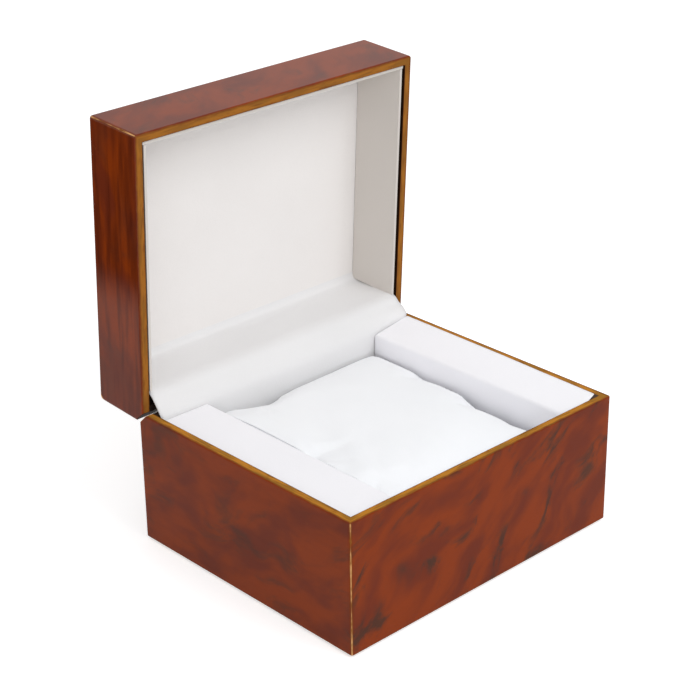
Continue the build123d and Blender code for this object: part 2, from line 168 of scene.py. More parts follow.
def use_group(tree, group, inputs):
    """Places a group in a material with its own values."""
    return place(tree, "ShaderNodeGroup", inputs, node_tree=group).outputs


FLOAT, COLOUR, VECTOR = "NodeSocketFloat", "NodeSocketColor", "NodeSocketVector"


def shade(name, **fixed):
    """A material with one Principled shader, whose fixed numbers are set on its own sockets."""
    material = bpy.data.materials.new(name)
    material.use_nodes = True
    tree = material.node_tree
    tree.nodes.clear()
    shader = tree.nodes.new("ShaderNodeBsdfPrincipled")
    for key, value in fixed.items():
        shader.inputs[key.replace("_", " ")].default_value = value
    tree.links.new(shader.outputs[0], tree.nodes.new("ShaderNodeOutputMaterial").inputs["Surface"])
    return material, tree, shader


def object_place(tree):
    """Where a point is on its piece, in metres."""
    return tree.nodes.new("ShaderNodeTexCoord").outputs["Object"]


def dress(tree, shader, colour, rough, height, strength, distance):
    """Gives a shader its colour, its roughness and a bump, as if the height stood up from it."""
    bump = place(tree, "ShaderNodeBump", {"Height": height, "Strength": strength, "Distance": distance})
    feed(tree, shader.inputs, {"Base Color": colour, "Roughness": rough, "Normal": bump.outputs[0]})
    return bump.outputs[0]


# %% [markdown]
# ## Where a board is lacquered and where it is cut
#
# The veneer covers the outside of the boards. The rims are cut edges, stained gold, and the
# narrow inside faces behind the white cards are painted nearly black, as painted shade for the
# deep gaps there. All of that depends on one number: how deep a point lies under the outside of
# the box. A group works it out, so that the base and the lid can share it. It allows for the lid's
# back edge, which is well rounded, and for the small chamfer at the foot. A second number says how
# near a point is to an outer edge, where the bright edge lines of wear and painted highlight lie,
# and a third output is a place stretched along the rims, so that the wood on them gets streaks and
# not spots.

# %% Group: depth under the outside of the box
BACK_ROUND = 3.8 * MM
FOOT_CHAMFER = 0.5 * MM
FOOT_SPARED = 0.52 * MM
STREAK_STRETCH = 7.0

skin, given, out = new_group(
    "depth under the outside",
    [
        ("Place", VECTOR, None),
        ("Half Width", FLOAT, 0.065),
        ("Half Depth", FLOAT, 0.055),
        ("Top", FLOAT, None),
        ("Bottom", FLOAT, None),
    ],
    [("Depth", FLOAT, None), ("From Edge", FLOAT, None), ("Along Rim", VECTOR, None)],
)


def diagonal(tree, first, second):
    """The length of the slope over two sides."""
    squares = [calc(tree, "MULTIPLY", side, side) for side in (first, second)]
    return calc(tree, "SQRT", calc(tree, "ADD", *squares))


def short_of(tree, wanted, value):
    """How far a value is short of what is wanted, or 0."""
    return calc(tree, "MAXIMUM", calc(tree, "SUBTRACT", wanted, value), 0.0)


split = place(skin, "ShaderNodeSeparateXYZ", {0: given["Place"]}).outputs
from_side = calc(skin, "SUBTRACT", given["Half Width"], calc(skin, "ABSOLUTE", split["X"]))
from_front = calc(skin, "ADD", given["Half Depth"], split["Y"])
from_back = calc(skin, "SUBTRACT", given["Half Depth"], split["Y"])
from_top = calc(skin, "SUBTRACT", given["Top"], split["Z"])
from_bottom = calc(skin, "SUBTRACT", split["Z"], given["Bottom"])
rounding = diagonal(skin, short_of(skin, BACK_ROUND, from_back), short_of(skin, BACK_ROUND, from_top))
from_round = calc(skin, "SUBTRACT", BACK_ROUND, rounding)
across = calc(skin, "MINIMUM", from_front, from_round)
depth = calc(skin, "MINIMUM", from_side, across)
edge = calc(skin, "MINIMUM", diagonal(skin, from_side, across), diagonal(skin, from_front, from_top))
on_foot = calc(skin, "SUBTRACT", calc(skin, "ADD", depth, from_bottom), FOOT_CHAMFER)
edge = calc(skin, "MINIMUM", edge, calc(skin, "ADD", calc(skin, "MAXIMUM", on_foot, 0.0), FOOT_SPARED))
# The lacquer goes on down over the small chamfer at the foot
depth = calc(skin, "MINIMUM", depth, short_of(skin, from_bottom, FOOT_CHAMFER))
inputs = {"X": split["X"], "Y": split["Y"], "Z": calc(skin, "MULTIPLY", depth, STREAK_STRETCH)}
stretched = place(skin, "ShaderNodeCombineXYZ", inputs).outputs[0]
feed(skin, out, {"Depth": depth, "From Edge": edge, "Along Rim": stretched})
print("group:", skin.name)

# %% [markdown]
# ## The figure of the burl veneer
#
# Burl is wood that grew in knots: soft dark clouds and streaks that drift across a red-brown
# ground. A slow noise bends the place that the others read. The streaks are where the saw cut
# through thin dark layers, so their noise is squeezed along one slanting line: on the front they
# climb to the right, and on the side they lie nearly level. A fine noise makes the pores. A
# photograph would be quicker, but this figure has no seams and wraps each board.

# %% Group: burl figure
ACROSS_LAYERS = Vector((-0.58, 0.15, 0.80))
LAYER_SQUEEZE = 0.40
MOST_BEND = 0.022
PORE_SHARE = 0.15

burl, given, out = new_group(
    "burl figure",
    [
        ("Place", VECTOR, None),
        ("Ground", COLOUR, (0.238, 0.036, 0.004, 1)),
        ("Shade", COLOUR, (0.150, 0.024, 0.008, 1)),
        ("Streak", COLOUR, (0.048, 0.026, 0.017, 1)),
        ("Streak Amount", FLOAT, None),
    ],
    [("Colour", COLOUR, None)],
)
bend = place(burl, "ShaderNodeTexNoise", {"Vector": given["Place"], "Scale": 26.0, "Detail": 2.0})
bent = calc_vector(burl, "SUBTRACT", bend.outputs["Color"], (0.5, 0.5, 0.5))
bent = calc_vector(burl, "SCALE", bent, Scale=MOST_BEND)
bent = calc_vector(burl, "ADD", bent, given["Place"])
slant = ACROSS_LAYERS.to_track_quat("Z", "Y").to_euler()
inputs = {"Vector": bent, "Rotation": slant, "Scale": (1.0, 1.0, LAYER_SQUEEZE)}
along = place(burl, "ShaderNodeMapping", inputs, vector_type="TEXTURE").outputs[0]
clouds = fade(burl, speckle(burl, along, scale=38.0, detail=3.0, Roughness=0.5), 0.38, 0.68)
streaks = speckle(burl, along, scale=47.0, detail=4.0, Roughness=0.58, Distortion=0.5)
streaks = fade(burl, streaks, 0.51, 0.68, given["Streak Amount"])
pores = fade(burl, speckle(burl, along, scale=900.0, detail=2.0), 0.50, 0.75, PORE_SHARE)
shaded = mix_colour(burl, clouds, given["Ground"], given["Shade"])
shaded = mix_colour(burl, streaks, shaded, given["Streak"])
shaded = mix_colour(burl, pores, shaded, given["Shade"])
feed(burl, out, {"Colour": shaded})
print("group:", burl.name)

# %% [markdown]
# ## The colour of the veneer
#
# The real boards are veneered and stained. The front and the top show the full figure of the
# burl. The two side boards are calmer, with long thin lines of grain, as where the sheet was cut
# along the wood. The lid's boards need the same recipe read in the closed box's own directions,
# so a Mapping node turns the lid back about the hinge before anything is measured.

# %% The veneer on the front, the top and the sides
HINGE = Vector((0, 0.0516, 0.0508))
OPEN_ANGLE = math.radians(87)
GRAIN_LINE = (0.065, 0.010, 0.004, 1)
# The sides lie this far from the middle, have fewer streaks, and have noise drawn out into lines
SIDE_FACES = (64.3 * MM, 64.6 * MM)
SIDE_CALM = 0.40
LINES_DRAWN = (1.0, 0.09, 1.0)


def closed_place(tree):
    """The place in the closed box of a point of the open lid."""
    turn = Matrix.Rotation(OPEN_ANGLE, 3, "X")
    return mapped(tree, object_place(tree), Rotation=(OPEN_ANGLE, 0, 0), Location=HINGE - turn @ HINGE)


def veneer_colour(tree, spot, shift, streaky, lined):
    """The burl, taken from a place moved by shift, with a share of streaks and of side grain."""
    from_middle = calc(tree, "ABSOLUTE", place(tree, "ShaderNodeSeparateXYZ", {0: spot}).outputs["X"])
    on_side = fade(tree, from_middle, *SIDE_FACES)
    shifted = mapped(tree, spot, Location=shift)
    streak_share = calc(tree, "MULTIPLY_ADD", on_side, -SIDE_CALM * streaky, streaky)
    figure = use_group(tree, burl, {"Place": shifted, "Streak Amount": streak_share})
    drawn = speckle(tree, mapped(tree, shifted, Scale=LINES_DRAWN), scale=300.0, detail=2.0)
    lines = calc(tree, "MULTIPLY", fade(tree, drawn, 0.40, 0.68, lined), on_side)
    return mix_colour(tree, lines, figure["Colour"], GRAIN_LINE)

# %% [markdown]
# ## The gold rims, and the edge lines of wear and painted highlight
#
# From the outside in, a cut rim has bands. The lacquer ends in a ragged line, and then come a
# brown band, streaked gold, and a dark border. Deeper than the rim lie the inside faces, painted
# nearly black as painted shade for the deep gaps there. Along the outer edges run thin bright
# lines, partly bare wood where the lacquer wears through and partly a painted highlight on the
# rounded edges, with a darker band beside them. Each band is a smooth step in the depth or in the
# distance from an edge, with a little noise added to make it ragged.

# %% The bands of a rim and of an edge
GOLD = (0.50, 0.205, 0.026, 1)
GOLD_GREEN = (0.34, 0.155, 0.024, 1)
GOLD_DARK = (0.17, 0.052, 0.014, 1)
# Painted shade: the inside faces behind the cards and the lid's bevel in the hinge seam are painted nearly
# black
INSIDE_SHADE = (0.022, 0.008, 0.004, 1)
# Painted highlight and wear: this bright colour stands partly for bare wood and partly for light on rounded
# edges
WORN_AND_HIGHLIGHT = (0.72, 0.38, 0.15, 1)
# Depths under the outside between which each band fades in
CUT_BAND = (0.18 * MM, 0.42 * MM)
BROWN_BAND = (1.2 * MM, 0.5 * MM)
BORDER_BAND = (2.7 * MM, 3.1 * MM)
INSIDE_BAND = (3.1 * MM, 3.2 * MM)
RAGGED = 0.8 * MM
# Edge lines, partly wear and partly painted highlight: width, wandering, and how the bright line and the
# dark band beside it fade in
EDGE_LINE_WIDTH = 0.38 * MM
EDGE_LINE_WANDER = 0.35 * MM
BARE_AND_HIGHLIGHT_BAND = (-0.02 * MM, 0.08 * MM)
BESIDE_BAND = (-0.6 * MM, -0.1 * MM)


def rim_colour(tree, measured, uneven, grainy, rim_painted_shade):
    """The gold of a cut rim, darkened by a share of painted shade, and the inside faces beyond it, painted
    dark as shade.
    """
    greenish = speckle(tree, measured["Along Rim"], scale=75.0, detail=1.0)
    gold = mix_colour(tree, fade(tree, greenish, 0.42, 0.62), GOLD, GOLD_GREEN)
    streaks = fade(tree, grainy, 0.50, 0.72, 0.6)
    brown = fade(tree, uneven, *BROWN_BAND, 0.75)
    border = fade(tree, uneven, *BORDER_BAND, 0.7)
    for share in (streaks, brown, border, rim_painted_shade):
        gold = mix_colour(tree, share, gold, GOLD_DARK)
    return mix_colour(tree, fade(tree, measured["Depth"], *INSIDE_BAND), gold, INSIDE_SHADE)


def edges_with_wear_and_highlight(tree, spot, from_edge, veneer):
    """The veneer with its edge lines, partly wear and partly a painted highlight, and how much of each point
    they cover.
    """
    wander = speckle(tree, spot, scale=130.0, detail=2.0)
    width = calc(tree, "MULTIPLY_ADD", wander, EDGE_LINE_WANDER, EDGE_LINE_WIDTH)
    edge_line = calc(tree, "SUBTRACT", width, from_edge)
    wear_and_highlight = fade(tree, edge_line, *BARE_AND_HIGHLIGHT_BAND)
    colour = mix_colour(tree, fade(tree, edge_line, *BESIDE_BAND, 0.35), veneer, GOLD_DARK)
    return mix_colour(tree, wear_and_highlight, colour, WORN_AND_HIGHLIGHT), wear_and_highlight

# %% [markdown]
# ## Lacquered boards
#
# The finished boards are polished under thick lacquer, so the colour sits deep and the shine on
# top. The Principled shader's coat is that lacquer. It is missing on the cut rims, on the bevel by
# the hinge and, for the most part, on the bright edge lines of wear and painted highlight. It isn't
# quite flat, so slow waves bend what it mirrors.

# %% Material: burl lacquer on the base and the lid
BEVEL_FADE = 0.25 * MM
# The height of an edge that a board doesn't have
FAR_AWAY = 1.0


def burl_lacquer(
    name, where, coat, streaky, lined, bevel_lean, bevel_start, bevel_colour,
    rim_painted_shade=0.0, shift=(0, 0, 0), top=FAR_AWAY, bottom=-FAR_AWAY,
):
    """Lacquered veneer, gold rims, a bevel in its own colour, painted shade on the insides and the lid's
    bevel, and edge lines of wear and painted highlight.
    """
    material, tree, shader = shade(
        name, Coat_Weight=1.0, Coat_Roughness=0.05, Coat_IOR=coat, Specular_IOR_Level=0.0
    )
    spot = where(tree)
    measured = use_group(tree, skin, {"Place": spot, "Top": top, "Bottom": bottom})
    ragged = speckle(tree, spot, scale=240.0, detail=2.0)
    ragged = calc(tree, "MULTIPLY_ADD", ragged, RAGGED, -0.5 * RAGGED)
    uneven = calc(tree, "ADD", measured["Depth"], ragged)
    cut = fade(tree, uneven, *CUT_BAND)
    grainy = speckle(tree, measured["Along Rim"], scale=190.0, detail=3.0)
    veneer = veneer_colour(tree, spot, shift, streaky, lined)
    colour, wear_and_highlight = edges_with_wear_and_highlight(tree, spot, measured["From Edge"], veneer)
    colour = mix_colour(tree, cut, colour, rim_colour(tree, measured, uneven, grainy, rim_painted_shade))
    split = place(tree, "ShaderNodeSeparateXYZ", {0: spot}).outputs
    slope = calc(tree, "MULTIPLY_ADD", split["Z"], bevel_lean, split["Y"])
    bevel = fade(tree, slope, bevel_start, bevel_start + BEVEL_FADE)
    colour = mix_colour(tree, bevel, colour, bevel_colour)
    bare = calc(tree, "MAXIMUM", calc(tree, "MAXIMUM", cut, bevel), calc(tree, "MULTIPLY", wear_and_highlight, 0.6))
    covered = calc(tree, "SUBTRACT", 1.0, bare)
    waves = calc(tree, "MULTIPLY", speckle(tree, spot, scale=45.0, detail=1.0), 0.5)
    height = calc(tree, "MULTIPLY_ADD", grainy, calc(tree, "MULTIPLY", cut, 0.4), waves)
    rough = calc(tree, "MULTIPLY_ADD", covered, -0.25, 0.6)
    normal = dress(tree, shader, colour, rough, height, strength=0.30, distance=0.4 * MM)
    coat_weight = calc(tree, "MULTIPLY_ADD", covered, 0.85, 0.15)
    feed(tree, shader.inputs, {"Coat Weight": coat_weight, "Coat Normal": normal})
    return material


base_lacquer = burl_lacquer(
    "base_burl_lacquer",
    where=object_place,
    coat=1.15,
    bottom=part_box("base_front_wall")[0][2],
    streaky=0.80,
    lined=0.1,
    bevel_lean=1.0,
    bevel_start=102.0 * MM,
    bevel_colour=GOLD,
)
lid_lacquer = burl_lacquer(
    "lid_burl_lacquer",
    where=closed_place,
    coat=1.20,
    top=77.1 * MM,
    shift=(0.21, 0.13, 0.05),
    streaky=0.35,
    lined=0.60,
    # Painted shade: the lid's rims face the front and are darkened, as they get less light than the base's
    rim_painted_shade=0.5,
    bevel_lean=-1.0,
    bevel_start=-1.3 * MM,
    # Painted shade: the lid's bevel lies in the shadow of the hinge seam
    bevel_colour=INSIDE_SHADE,
)


def finish_nodes(material, *names):
    """Gives CAD nodes a material in place of their plain one."""
    for name in names:
        slots = nodes[name].data.materials
        slots.clear()
        slots.append(material)
    print(material.name, "on", len(names), "nodes")


SIDES = ("front", "back", "left", "right")
finish_nodes(base_lacquer, *[f"base_{side}_wall" for side in SIDES])
finish_nodes(lid_lacquer, "lid_top_panel", *[f"lid_{side}_wall" for side in SIDES])

# %% [markdown]
# ## White leatherette and covered card
#
# The linings are a white coated fabric. Close up it has a fine pebbled grain, which is a bump of
# small cells. Its colour drifts by a hair, since a pure flat white looks like plastic. The cards
# have a finer paper tooth, so both use one group. The panel's cover, the flap and the cards get
# darker colours than the white leatherette: painted shade, and on the cards a painted warm
# reflection of the wood as well.

# %% Group: fine grain
grain, given, out = new_group(
    "fine grain",
    [
        ("Place", VECTOR, None),
        ("Colour", COLOUR, None),
        ("Shade", COLOUR, None),
        ("Grain Scale", FLOAT, None),
        ("Drift Scale", FLOAT, 25.0),
    ],
    [("Colour", COLOUR, None), ("Height", FLOAT, None), ("Roughness Drift", FLOAT, None)],
)
inputs = {"Vector": given["Place"], "Scale": given["Grain Scale"]}
cells = place(grain, "ShaderNodeTexVoronoi", inputs).outputs["Distance"]
drift = speckle(grain, given["Place"], scale=given["Drift Scale"], detail=3.0)
tone = calc(grain, "MULTIPLY_ADD", cells, 0.25, fade(grain, drift, 0.35, 0.75, 0.35))
shaded = mix_colour(grain, tone, given["Colour"], given["Shade"])
rough = calc(grain, "MULTIPLY_ADD", drift, 0.2, -0.1)
feed(grain, out, {"Colour": shaded, "Height": cells, "Roughness Drift": rough})
print("group:", grain.name)


# %% Materials: leatherette and card
def grained(name, colour, shadow, scale, roughness, strength, distance, **fixed):
    """A pale coated material with a fine grain."""
    material, tree, shader = shade(name, **fixed)
    spot = object_place(tree)
    made = use_group(tree, grain, {"Place": spot, "Colour": colour, "Shade": shadow, "Grain Scale": scale})
    rough = calc(tree, "ADD", made["Roughness Drift"], roughness)
    dress(tree, shader, made["Colour"], rough, made["Height"], strength, distance)
    return material


def leather(name, colour, shadow):
    """Leatherette with a fine pebbled grain."""
    pebbles = {"scale": 1500.0, "roughness": 0.50, "strength": 0.25, "distance": 0.1 * MM}
    return grained(name, colour, shadow, **pebbles, Specular_IOR_Level=0.3)


leatherette = leather("white_leatherette", (0.95, 0.945, 0.98, 1), (0.905, 0.90, 0.935, 1))
# Painted shade: the panel's cover and the flap are the white leatherette, given darker colours for the light
# they get
panel_leatherette_shaded = leather("panel_leatherette_shaded", (0.822, 0.795, 0.78, 1), (0.772, 0.744, 0.73, 1))
flap_leatherette_shaded = leather("flap_leatherette_shaded", (0.765, 0.76, 0.765, 1), (0.717, 0.712, 0.717, 1))
# Painted shade and painted reflection: the white cards get a darker warm grey for the shade in the lid and
# the wood's warm light
card = grained(
    "card_painted_shade",
    (0.645, 0.603, 0.562, 1),
    (0.608, 0.567, 0.526, 1),
    scale=3200.0,
    roughness=0.75,
    strength=0.15,
    distance=0.06 * MM,
    Specular_IOR_Level=0.2,
)
finish_nodes(leatherette, "base_front_lining")
finish_nodes(panel_leatherette_shaded, "lid_panel_cover")
finish_nodes(card, "base_floor_lining", "base_back_lining", "lid_panel_board")
finish_nodes(card, "lid_left_lining", "lid_right_lining", "lid_front_lining")

# %% [markdown]
# ## Wood, felt and brass
#
# These are hardly seen. The bottom panel is bare wood with a straight grain, a wave texture bent
# by noise, and the hinge rails and ledge blocks are the same wood painted nearly black, as painted
# shade for the dark hinge seam the rails are seen through. Felt is matt with a fuzzy sheen. The
# hinges are brushed brass, with scratches stretched along the box.

# %% Materials: wood, felt and brass
FELT_DARK = (0.012, 0.011, 0.010, 1)
FELT_PALE = (0.05, 0.045, 0.04, 1)
BRASS_PALE = (0.62, 0.42, 0.16, 1)
BRASS_DARK = (0.42, 0.26, 0.08, 1)
SCRATCH_SCALE = (60.0, 1500.0, 1500.0)


def wood(name, light, dark):
    """Plain wood with straight grain lines."""
    material, tree, shader = shade(name, Specular_IOR_Level=0.3)
    inputs = {"Vector": object_place(tree), "Scale": 60.0, "Distortion": 6.0, "Detail": 2.0}
    lines = place(tree, "ShaderNodeTexWave", inputs, bands_direction="Z").outputs["Fac"]
    colour = mix_colour(tree, fade(tree, lines, 0.3, 0.9), light, dark)
    rough = calc(tree, "MULTIPLY_ADD", lines, 0.15, 0.6)
    dress(tree, shader, colour, rough, lines, strength=0.3, distance=0.2 * MM)
    return material


bare_wood = wood("bare_wood", light=(0.50, 0.33, 0.17, 1), dark=(0.33, 0.20, 0.09, 1))
# Painted shade: the hinge rails are seen through the dark hinge seam, so this wood is painted nearly black
wood_painted_shade = wood("wood_painted_shade", light=(0.030, 0.013, 0.007, 1), dark=(0.014, 0.006, 0.003, 1))

felt, tree, shader = shade("dark_felt", Specular_IOR_Level=0.1, Sheen_Weight=0.4, Sheen_Roughness=0.6)
fuzz = speckle(tree, object_place(tree), scale=1400.0, detail=4.0)
colour = mix_colour(tree, fade(tree, fuzz, 0.3, 0.7), FELT_DARK, FELT_PALE)
rough = calc(tree, "MULTIPLY_ADD", fuzz, 0.1, 0.85)
dress(tree, shader, colour, rough, fuzz, strength=0.8, distance=0.4 * MM)

brass, tree, shader = shade("brushed_brass", Metallic=1.0)
spot = object_place(tree)
scratches = speckle(tree, mapped(tree, spot, Scale=SCRATCH_SCALE), scale=1.0, detail=3.0)
colour = mix_colour(tree, scratches, BRASS_PALE, BRASS_DARK)
rough = calc(tree, "MULTIPLY_ADD", scratches, 0.25, 0.2)
dress(tree, shader, colour, rough, scratches, strength=0.2, distance=0.05 * MM)

finish_nodes(bare_wood, "base_bottom_panel")
finish_nodes(wood_painted_shade, "base_hinge_rail", "lid_hinge_rail", "left_ledge_block", "right_ledge_block")
finish_nodes(felt, "base_felt")
finish_nodes(brass, *[name for name in nodes if name.endswith(("_leaf", "_pin", "_screws"))])

# %% [markdown]
# ## The hinge flap
#
# One strip of leatherette hides the hinges. It stands up behind the pillow, leans over the gap
# and lies down to the lid's panel. A strip is easiest to make as a line of points in profile,
# swept across the box, and given its thickness by a Solidify modifier.

# %% Draw the flap's profile
FLAP_THICKNESS = 0.5 * MM
FLAP_HALF_WIDTH = 60.8 * MM
# Its foot, its end on the lid, and what lies between: for the most part, and at its right end,
# where the fold leans forward
FLAP_FOOT = [(46.85, 4.5), (46.85, 47.6)]
FLAP_END = [(71.8, 61.7), (72.5, 63.1), (72.9, 65.2)]
FLAP_FOLD = [
    (47.0, 49.4), (47.6, 51.2), (48.6, 52.9), (50.6, 55.6), (52.4, 57.6), (54.6, 58.75),
    (58.0, 59.35), (65.0, 60.3), (70.2, 61.0),
]
FLAP_RIGHT_FOLD = [
    (46.6, 49.6), (45.9, 51.9), (45.5, 53.6), (46.9, 55.5), (49.6, 57.1), (52.0, 59.1),
    (57.0, 60.0), (65.0, 60.6), (70.2, 61.1),
]
FLAP_STEP = 0.8 * MM


def smooth_line(points, step, count=None):
    """Points evenly spaced along a smooth curve through the points given, by step or by count."""
    curve = bpy.data.curves.new("line", "CURVE")
    curve.dimensions = "3D"
    spline = curve.splines.new("BEZIER")
    spline.bezier_points.add(len(points) - 1)
    for bezier, point in zip(spline.bezier_points, points):
        bezier.co = point
        bezier.handle_left_type = bezier.handle_right_type = "AUTO"
    curve.resolution_u = 24
    holder = bpy.data.objects.new("line", curve)
    mesh = bpy.data.meshes.new_from_object(holder)
    line = [vertex.co.copy() for vertex in mesh.vertices]
    bpy.data.objects.remove(holder)
    bpy.data.meshes.remove(mesh)
    lengths = [0.0]
    for before, after in zip(line, line[1:]):
        lengths.append(lengths[-1] + (after - before).length)
    count = count or max(2, round(lengths[-1] / step))
    spaced, index = [], 0
    for number in range(count + 1):
        wanted = lengths[-1] * number / count
        while index < len(line) - 2 and lengths[index + 1] < wanted:
            index += 1
        span = max(lengths[index + 1] - lengths[index], 1e-12)
        spaced.append(line[index].lerp(line[index + 1], min(1.0, (wanted - lengths[index]) / span)))
    return spaced, lengths[-1]


def flap_line(fold, count=None):
    """The flap's line through one fold, in the YZ plane."""
    points = [Vector((0, y, z)) * MM for y, z in FLAP_FOOT + fold + FLAP_END]
    return smooth_line(points, FLAP_STEP, count)


profile, flap_length = flap_line(FLAP_FOLD)
right_profile = flap_line(FLAP_RIGHT_FOLD, len(profile) - 1)[0]
print("flap:", len(profile), "points, cut length", round(flap_length, 4))


# %% Sweep the flap across the box
def new_piece(name, mesh, material, body):
    """Links a finished mesh as a piece that rides on a body."""
    piece = new_object(name, mesh)
    mesh.materials.clear()
    mesh.materials.append(material)
    if body:
        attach(piece, body)
    return piece


def apply_modifiers(piece):
    """Turns what the modifiers show into the piece's own mesh."""
    evaluated = piece.evaluated_get(bpy.context.evaluated_depsgraph_get())
    piece.data = bpy.data.meshes.new_from_object(evaluated)
    piece.modifiers.clear()


def thicken(piece, thickness, offset):
    """Gives a sheet its thickness: to both sides with offset 0, and inward with offset -1."""
    solidify = piece.modifiers.new("thickness", "SOLIDIFY")
    solidify.thickness = thickness
    solidify.offset = offset
    apply_modifiers(piece)


def join_rows(shape, rows, flip=False):
    """Fills the space between rows of points with four-sided faces."""
    for low, high in zip(rows, rows[1:]):
        for column in range(len(low) - 1):
            corners = [low[column], low[column + 1], high[column + 1], high[column]]
            shape.faces.new(corners[::-1] if flip else corners)


def as_mesh(shape, name):
    """The mesh of a shape that was built point by point."""
    mesh = bpy.data.meshes.new(name)
    shape.to_mesh(mesh)
    shape.free()
    return mesh


FLAP_COLUMNS = 76
RIPPLE = 0.45 * MM
# From 0 to 1 along the strip: the part that hangs loose and ripples
LOOSE_START = 0.55
LOOSE_SPAN = 0.40
# From -1 to 1 across it: where its right end begins
RIGHT_START = 0.55

shape = bmesh.new()
rows = []
for index, (middle, right) in enumerate(zip(profile, right_profile)):
    share = index / (len(profile) - 1)
    loose = math.sin(math.pi * min(1.0, max(0.0, (share - LOOSE_START) / LOOSE_SPAN)))
    row = []
    for column in range(FLAP_COLUMNS + 1):
        across = -1 + 2 * column / FLAP_COLUMNS
        ripple = noise.noise(Vector((across * 3.1, share * 5.0, 0.4))) * RIPPLE * max(0.0, loose)
        point = middle.lerp(right, max(0.0, (across - RIGHT_START) / (1 - RIGHT_START)) ** 2)
        row.append(shape.verts.new((across * FLAP_HALF_WIDTH, point.y, point.z + ripple)))
    rows.append(row)
join_rows(shape, rows)
flap_mesh = as_mesh(shape, "hinge_flap_sheet")
flap_mesh.shade_smooth()
flap = new_piece("hinge_flap_sheet", flap_mesh, flap_leatherette_shaded, None)
thicken(flap, FLAP_THICKNESS, offset=0.0)
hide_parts("hinge_flap")
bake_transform(flap)
print("flap faces:", len(flap.data.polygons))

# %% [markdown]
# ## The padded ledges
#
# On each side a wooden block is wrapped in leatherette over thin padding. Fabric over padding is
# never quite flat, so each cover is drawn here as a skin that waves by a few tenths of a
# millimetre, with soft edges. The right one stands a little proud of the rim at the back and
# sinks under it at the front, where its corner is pulled in.

# %% Ease heights along an edge, and turn a skin down at its ends
FOLD_PARTS = 4


def eased(spot, table):
    """The values of a table at a spot, eased between its steps. A step is a place and its values."""
    for low, high in zip(table, table[1:]):
        if spot <= high[0]:
            break
    share = min(1.0, max(0.0, (spot - low[0]) / (high[0] - low[0])))
    share = share * share * (3 - 2 * share)
    return [first + (second - first) * share for first, second in zip(low[1:], high[1:])]


def edge_stations(start, stop, fold, steps, both_ends):
    """Places from start to stop and how far the skin has turned down there, as (place, drop)."""
    direction = 1 if stop > start else -1
    turned = [(start, None)]
    for part in range(FOLD_PARTS):
        angle = math.radians(90 * part / FOLD_PARTS)
        turned.append((start + direction * fold * (1 - math.cos(angle)), fold * (1 - math.sin(angle))))
    inner_start = start + direction * fold
    inner_stop = stop - direction * fold if both_ends else stop
    flat = [(inner_start + (inner_stop - inner_start) * step / steps, 0.0) for step in range(steps + 1)]
    ending = [(start + stop - at, drop) for at, drop in reversed(turned)] if both_ends else []
    return turned + flat + ending


# %% Wrap the ledges
LEDGE_SKIN = 0.3 * MM
INNER_TOP = 49.7 * MM
LEDGE_FOLD = 1.3 * MM
END_FOLD = 0.8 * MM
LEDGE_STEPS = 64
LEDGE_COLUMNS = 18
LEDGE_WAVE = 0.22 * MM
# The front corner that is pulled in: its length, and where it begins on the way across
CORNER_LENGTH = 3.0 * MM
CORNER_START = 0.62


def ledge_cover(name, node, inner_right, outer_heights, end_pull=0.0, gap=0.0):
    """A leatherette skin over a ledge, kept short of the wall and the flap by a gap."""
    low, high = (Vector(corner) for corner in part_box(node))
    high.y -= gap
    inner, outer = (high.x, low.x + gap) if inner_right else (low.x, high.x - gap)
    inward = 1 if inner_right else -1
    shape = bmesh.new()
    rows = []
    for y, end_drop in edge_stations(low.y, high.y, END_FOLD, LEDGE_STEPS, True):
        outer_top = eased(y / MM, outer_heights)[0] * MM
        front = max(0.0, 1 - (y - low.y) / CORNER_LENGTH)
        row = []
        for x, drop in edge_stations(inner, outer, LEDGE_FOLD, LEDGE_COLUMNS, False):
            share = (x - inner) / (outer - inner)
            wave = noise.noise(Vector((x * 40, y * 28, 1.7 if inner_right else 6.2)))
            top = INNER_TOP + (outer_top - INNER_TOP) * share
            top += wave * LEDGE_WAVE * math.sin(math.pi * min(1.0, share + 0.15))
            sunk = low.z if None in (drop, end_drop) else top - max(drop, end_drop)
            side_wave = (noise.noise(Vector((3.1, y * 45, sunk * 20))) - 1) * LEDGE_WAVE
            drawn_in = inward * side_wave * (1 - share) ** 6
            pulled = front * end_pull * max(0.0, (share - CORNER_START) / (1 - CORNER_START))
            row.append(shape.verts.new((x + drawn_in, y + pulled, sunk)))
        rows.append(row)
    join_rows(shape, rows, flip=inner_right)
    bmesh.ops.remove_doubles(shape, verts=shape.verts, dist=0.01 * MM)
    bmesh.ops.dissolve_degenerate(shape, edges=shape.edges, dist=0.001 * MM)
    mesh = as_mesh(shape, name)
    mesh.shade_smooth()
    cover = new_piece(name, mesh, leatherette, "base")
    thicken(cover, LEDGE_SKIN, offset=-1.0)
    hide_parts(node)
    # The cut is a cross: a strip over the top and the inner side, with a tab at each end
    print(name, "faces:", len(cover.data.polygons))


ledge_cover(
    "left_ledge_skin",
    "left_ledge_cover",
    inner_right=True,
    outer_heights=[(-51, 49.9), (51, 49.9)],
)
ledge_cover(
    "right_ledge_skin",
    "right_ledge_cover",
    inner_right=False,
    outer_heights=[(-51, 51.75), (-30, 51.9), (0, 52.25), (46, 52.35)],
    end_pull=1.8 * MM,
    gap=0.3 * MM,
)

# %% [markdown]
# ## The pillow
#
# The pillow is two panels sewn together round a soft filling. Its seam isn't flat: the corners
# stand up as ears and the sides sag between them. A good way to model that is to draw the seam
# first, as a closed line, and to stretch a surface inside it that bulges up, and another that
# bulges down. A cloth simulation with a little pressure then fills it as stuffing would.

# %% Draw the pillow's seam
PILLOW_LEFT, PILLOW_RIGHT = -38.9 * MM, 43.1 * MM
PILLOW_FRONT, PILLOW_BACK = -50.1 * MM, 45.7 * MM
PILLOW_FLOOR, PILLOW_CROWN, PILLOW_TOP = 4.5 * MM, 46.2 * MM, 49.3 * MM
